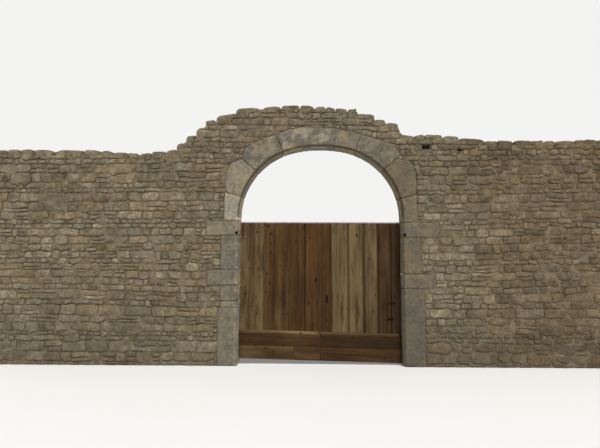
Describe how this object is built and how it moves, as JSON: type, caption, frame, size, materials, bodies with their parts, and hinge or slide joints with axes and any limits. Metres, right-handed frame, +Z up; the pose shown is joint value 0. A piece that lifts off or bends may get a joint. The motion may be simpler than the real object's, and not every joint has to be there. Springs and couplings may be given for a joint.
{
  "type": "arched stone gateway",
  "caption": "Round-arched stone gateway in a long rubble wall with a humped top, closed by a pair of ledged plank gate leaves that swing on pintles.",
  "frame": {"origin": "on the ground, in the middle of the opening and of the wall's thickness", "axes": "+X along the wall to the right as seen from the front, +Y through the wall to the back, +Z up"},
  "size_m": [11.4, 0.35, 4.487],
  "materials": {
    "dressed_stone": "dressed limestone, weathered grey with lichen",
    "rubble_stone": "coursed rubble in lime mortar, buff to brown",
    "planks": "weathered softwood planks, oiled and faded",
    "iron": "dark wrought iron with some rust",
    "cap_strip": "dull pale zinc strip"
  },
  "bodies": {
    "gateway": {"wing_left": "rubble_stone", "wing_right": "rubble_stone", "wall_over_arch": "rubble_stone", "voussoir_1": "dressed_stone", "voussoir_2": "dressed_stone", "voussoir_3": "dressed_stone", "voussoir_4": "dressed_stone", "voussoir_5": "dressed_stone", "voussoir_6": "dressed_stone", "springer_left": "dressed_stone", "springer_right": "dressed_stone", "jamb_left_1": "dressed_stone", "jamb_left_2": "dressed_stone", "jamb_left_3": "dressed_stone", "jamb_left_4": "dressed_stone", "jamb_left_5": "dressed_stone", "jamb_left_6": "dressed_stone", "jamb_right_1": "dressed_stone", "jamb_right_2": "dressed_stone", "jamb_right_3": "dressed_stone", "jamb_right_4": "dressed_stone", "pintles_left": "iron", "pintles_right": "iron"},
    "leaf_left": {"boards_left": "planks", "kick_boards_left": "planks", "cap_left": "cap_strip", "ledges_left": "planks", "braces_left": "planks", "straps_left": "iron", "lock_keeper": "iron"},
    "leaf_right": {"boards_right": "planks", "kick_boards_right": "planks", "cap_right": "cap_strip", "ledges_right": "planks", "braces_right": "planks", "straps_right": "iron", "lock_case": "iron", "lock_plate": "iron"}
  },
  "joints": [
    {"name": "left_leaf_hinge", "type": "hinge", "parent": "gateway", "child": "leaf_left", "pos_m": [-1.363, 0.10135, 0.27], "axis": [0, 0, 1], "range_deg": [0, 90]},
    {"name": "right_leaf_hinge", "type": "hinge", "parent": "gateway", "child": "leaf_right", "pos_m": [1.363, 0.10135, 0.27], "axis": [0, 0, -1], "range_deg": [0, 90]}
  ]
}
